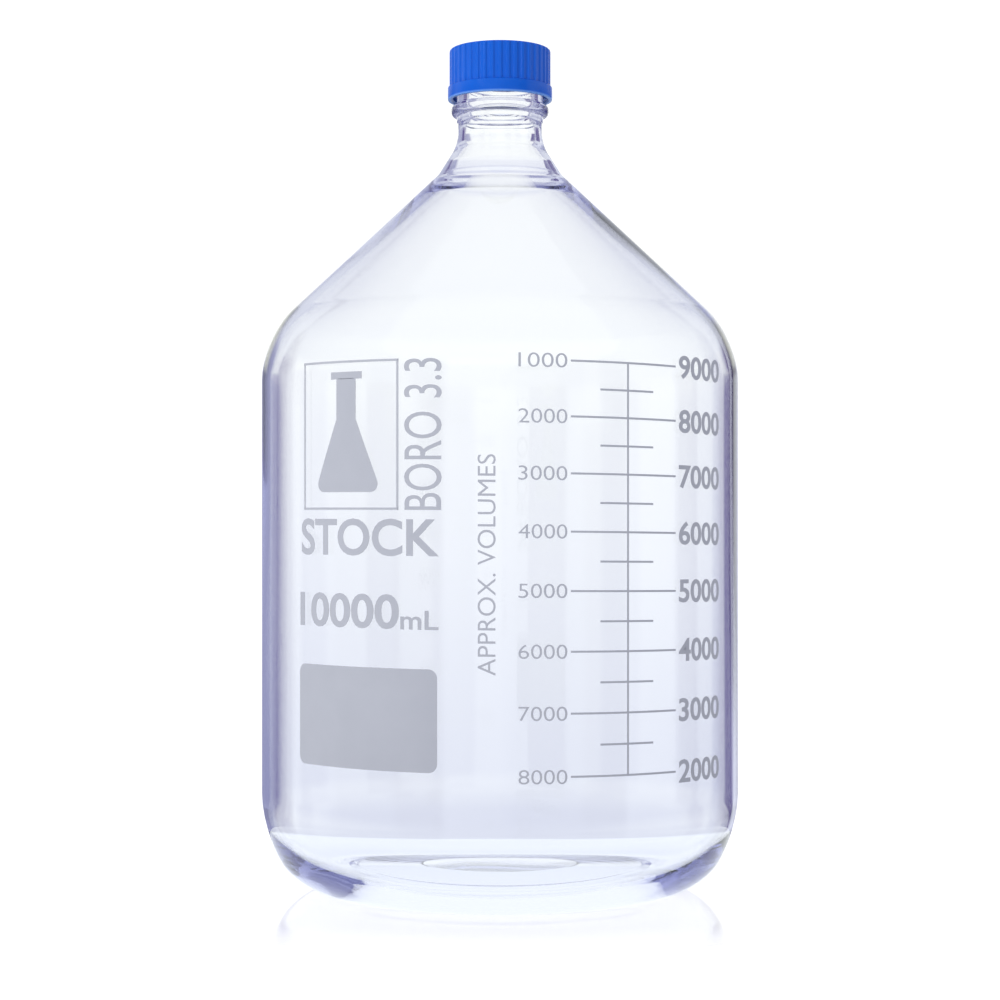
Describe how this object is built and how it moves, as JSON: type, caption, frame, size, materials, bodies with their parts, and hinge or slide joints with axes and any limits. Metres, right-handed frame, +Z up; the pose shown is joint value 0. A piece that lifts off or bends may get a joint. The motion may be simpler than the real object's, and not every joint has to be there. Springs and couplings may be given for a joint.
{
  "type": "reagent bottle",
  "caption": "Large clear glass screw-neck reagent bottle with conical shoulder, printed volume scale and ribbed blue screw cap that unscrews along its thread.",
  "frame": {"origin": "centre of the base, on the surface the bottle rests on", "axes": "+Z up along the bottle's axis, -Y towards the printed side, +X to the right seen from the printed side"},
  "size_m": [0.2269, 0.227, 0.401],
  "materials": {
    "borosilicate": "clear, fire polished",
    "blue_polypropylene": "moulded, satin gloss",
    "ring_polypropylene": "moulded, satin gloss",
    "silicone": "matt",
    "fluoropolymer": "smooth, waxy",
    "white_enamel": "fired enamel, satin"
  },
  "bodies": {
    "bottle": {"glass_bottle": "borosilicate", "pouring_ring": "ring_polypropylene", "marking_spot": "white_enamel", "volume_scale": "white_enamel", "flask_emblem": "white_enamel"},
    "liner": {"liner_pad": "silicone", "liner_face": "fluoropolymer"},
    "cap": {"screw_cap": "blue_polypropylene"}
  },
  "joints": [
    {"name": "cap_lift", "type": "slide", "parent": "bottle", "child": "liner", "axis": [0, 0, 1], "range_m": [0, 0.0281]},
    {"name": "cap_turn", "type": "hinge", "parent": "liner", "child": "cap", "pos_m": [0, 0, 0.399], "axis": [0, 0, 1], "range_deg": [0, 2520]}
  ],
  "couplings": [
    {"joint": "cap_lift", "follows": "cap_turn", "m_per_rad": 0.00063662}
  ]
}
